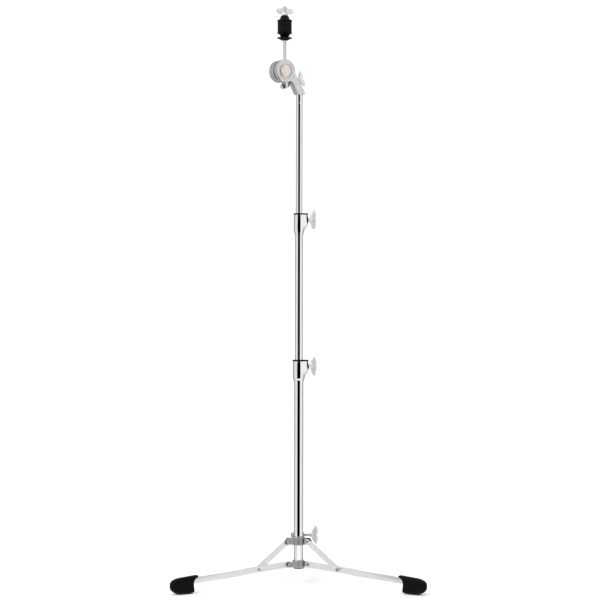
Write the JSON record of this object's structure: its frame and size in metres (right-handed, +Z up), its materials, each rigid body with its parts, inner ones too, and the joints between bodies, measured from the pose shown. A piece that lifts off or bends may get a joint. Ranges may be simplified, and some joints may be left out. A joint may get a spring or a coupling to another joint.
{
  "type": "cymbal stand",
  "caption": "Straight cymbal stand with a low flat tripod base, telescopic chrome column, ratchet-free tilter and felt cymbal seat; it folds flat.",
  "frame": {"origin": "on the floor under the middle of the tripod's outline; the column's axis stands at Y = -82.5 mm", "axes": "+Z up along the column, +Y along leg 1, +X to the side that the pipe joints' wing bolts point to"},
  "size_m": [0.5956, 0.519, 1.379],
  "materials": {
    "black_felt": "dense wool felt",
    "black_nylon": "moulded nylon",
    "cap_metal": "satin warm metal",
    "cast_hub": "satin dark cast zinc",
    "cast_tilter": "satin plated casting",
    "cup_black": "moulded black plastic",
    "joint_chrome": "polished chrome plate on a casting",
    "leg_steel": "satin nickel plate",
    "rivet_steel": "bright zinc plate",
    "rod_steel": "bright zinc-plated steel",
    "rubber_foot": "satin moulded rubber",
    "tube_chrome": "polished chrome plate",
    "wing_chrome": "chrome plate on a casting"
  },
  "bodies": {
    "base": {"lower_tube": "tube_chrome", "tube_end_plug": "rubber_foot", "leg_hub": "cast_hub", "hub_rivets": "rivet_steel", "hub_spacers": "black_nylon", "lower_joint": "joint_chrome", "lower_joint_flange": "black_nylon", "lower_joint_washer": "black_nylon"},
    "leg_collar": {"collar": "cast_hub", "collar_rivets": "rivet_steel", "collar_spacers": "black_nylon", "collar_bolt": "rod_steel"},
    "lower_sleeve": {"lower_joint_sleeve": "black_nylon"},
    "middle_column": {"middle_tube": "tube_chrome", "middle_tube_bush": "black_nylon", "upper_joint": "joint_chrome", "upper_joint_flange": "black_nylon", "upper_joint_washer": "black_nylon"},
    "upper_sleeve": {"upper_joint_sleeve": "black_nylon"},
    "upper_column": {"upper_tube": "tube_chrome", "upper_tube_bush": "black_nylon", "socket_plug": "rivet_steel", "tilter_arm": "cast_tilter", "tilter_bolt": "rod_steel", "tilter_bolt_collar": "black_nylon"},
    "cymbal_holder": {"tilter_head": "cast_tilter", "tilter_cap": "cap_metal", "friction_ring": "black_nylon", "tilter_rear_cap": "cast_tilter", "tilter_screw": "rod_steel", "cymbal_rod": "rod_steel", "seat_flange": "cup_black", "lower_cup": "cup_black", "rod_sleeve": "black_nylon", "lower_felt": "black_felt", "upper_felt": "black_felt", "upper_cup": "cup_black"},
    "cymbal_nut": {"cymbal_wing_nut": "wing_chrome"},
    "tilter_nut": {"tilter_wing_nut": "wing_chrome"},
    "collar_nut": {"collar_wing_nut": "wing_chrome"},
    "lower_bolt": {"lower_wing_bolt": "wing_chrome"},
    "upper_bolt": {"upper_wing_bolt": "wing_chrome"},
    "leg_1": {"leg_1": "leg_steel", "leg_1_rivet": "rivet_steel", "foot_1": "rubber_foot"},
    "strut_1": {"strut_1": "leg_steel", "strut_1_rivet": "rivet_steel"},
    "leg_2": {"leg_2": "leg_steel", "leg_2_rivet": "rivet_steel", "foot_2": "rubber_foot"},
    "strut_2": {"strut_2": "leg_steel", "strut_2_rivet": "rivet_steel"},
    "leg_3": {"leg_3": "leg_steel", "leg_3_rivet": "rivet_steel", "foot_3": "rubber_foot"},
    "strut_3": {"strut_3": "leg_steel", "strut_3_rivet": "rivet_steel"}
  },
  "joints": [
    {"name": "collar_slide", "type": "slide", "parent": "base", "child": "leg_collar", "axis": [0, 0, 1], "range_m": [0, 0.1289]},
    {"name": "leg_1_fold", "type": "hinge", "parent": "base", "child": "leg_1", "pos_m": [0, -0.056, 0.049], "axis": [1, 0, 0], "range_deg": [0, 87.26]},
    {"name": "strut_1_fold", "type": "hinge", "parent": "leg_collar", "child": "strut_1", "pos_m": [0, -0.056, 0.1046], "axis": [-1, 0, 0], "range_deg": [0, 47.73]},
    {"name": "leg_2_fold", "type": "hinge", "parent": "base", "child": "leg_2", "pos_m": [-0.02295, -0.09575, 0.049], "axis": [-0.5, 0.866, 0], "range_deg": [0, 87.26]},
    {"name": "strut_2_fold", "type": "hinge", "parent": "leg_collar", "child": "strut_2", "pos_m": [-0.02295, -0.09575, 0.1046], "axis": [0.5, -0.866, 0], "range_deg": [0, 47.73]},
    {"name": "leg_3_fold", "type": "hinge", "parent": "base", "child": "leg_3", "pos_m": [0.02295, -0.09575, 0.049], "axis": [-0.5, -0.866, 0], "range_deg": [0, 87.26]},
    {"name": "strut_3_fold", "type": "hinge", "parent": "leg_collar", "child": "strut_3", "pos_m": [0.02295, -0.09575, 0.1046], "axis": [0.5, 0.866, 0], "range_deg": [0, 47.73]},
    {"name": "middle_swivel", "type": "hinge", "parent": "base", "child": "lower_sleeve", "pos_m": [0, -0.0825, 0.52], "axis": [0, 0, 1], "continuous": true},
    {"name": "middle_height", "type": "slide", "parent": "lower_sleeve", "child": "middle_column", "axis": [0, 0, 1], "range_m": [-0.295, 0.045]},
    {"name": "upper_swivel", "type": "hinge", "parent": "middle_column", "child": "upper_sleeve", "pos_m": [0, -0.0825, 0.87], "axis": [0, 0, 1], "continuous": true},
    {"name": "upper_height", "type": "slide", "parent": "upper_sleeve", "child": "upper_column", "axis": [0, 0, 1], "range_m": [-0.255, 0.04]},
    {"name": "cymbal_tilt", "type": "hinge", "parent": "upper_column", "child": "cymbal_holder", "pos_m": [-0.04587, -0.11462, 1.226], "axis": [-0.5736, 0.8192, 0], "range_deg": [-95, 70]},
    {"name": "cymbal_nut_turn", "type": "hinge", "parent": "cymbal_holder", "child": "cymbal_nut", "pos_m": [-0.03492, -0.13027, 1.361], "axis": [0, 0, 1], "range_deg": [0, 360]},
    {"name": "tilter_nut_turn", "type": "hinge", "parent": "upper_column", "child": "tilter_nut", "pos_m": [-0.0344, -0.10659, 1.194], "axis": [0.7632, 0.5344, 0.3633], "range_deg": [0, 360]},
    {"name": "collar_nut_turn", "type": "hinge", "parent": "leg_collar", "child": "collar_nut", "pos_m": [0.03, -0.0635, 0.116], "axis": [1, 0, 0], "range_deg": [0, 360]},
    {"name": "lower_bolt_turn", "type": "hinge", "parent": "base", "child": "lower_bolt", "pos_m": [0.02, -0.0825, 0.523], "axis": [1, 0, 0], "range_deg": [0, 360]},
    {"name": "upper_bolt_turn", "type": "hinge", "parent": "middle_column", "child": "upper_bolt", "pos_m": [0.02, -0.0825, 0.8745], "axis": [1, 0, 0], "range_deg": [0, 360]}
  ],
  "couplings": [
    {"joint": "leg_1_fold", "follows": "collar_slide", "rad_per_m": 11.802},
    {"joint": "strut_1_fold", "follows": "collar_slide", "rad_per_m": 6.4497},
    {"joint": "leg_2_fold", "follows": "collar_slide", "rad_per_m": 11.802},
    {"joint": "strut_2_fold", "follows": "collar_slide", "rad_per_m": 6.4497},
    {"joint": "leg_3_fold", "follows": "collar_slide", "rad_per_m": 11.802},
    {"joint": "strut_3_fold", "follows": "collar_slide", "rad_per_m": 6.4497}
  ]
}
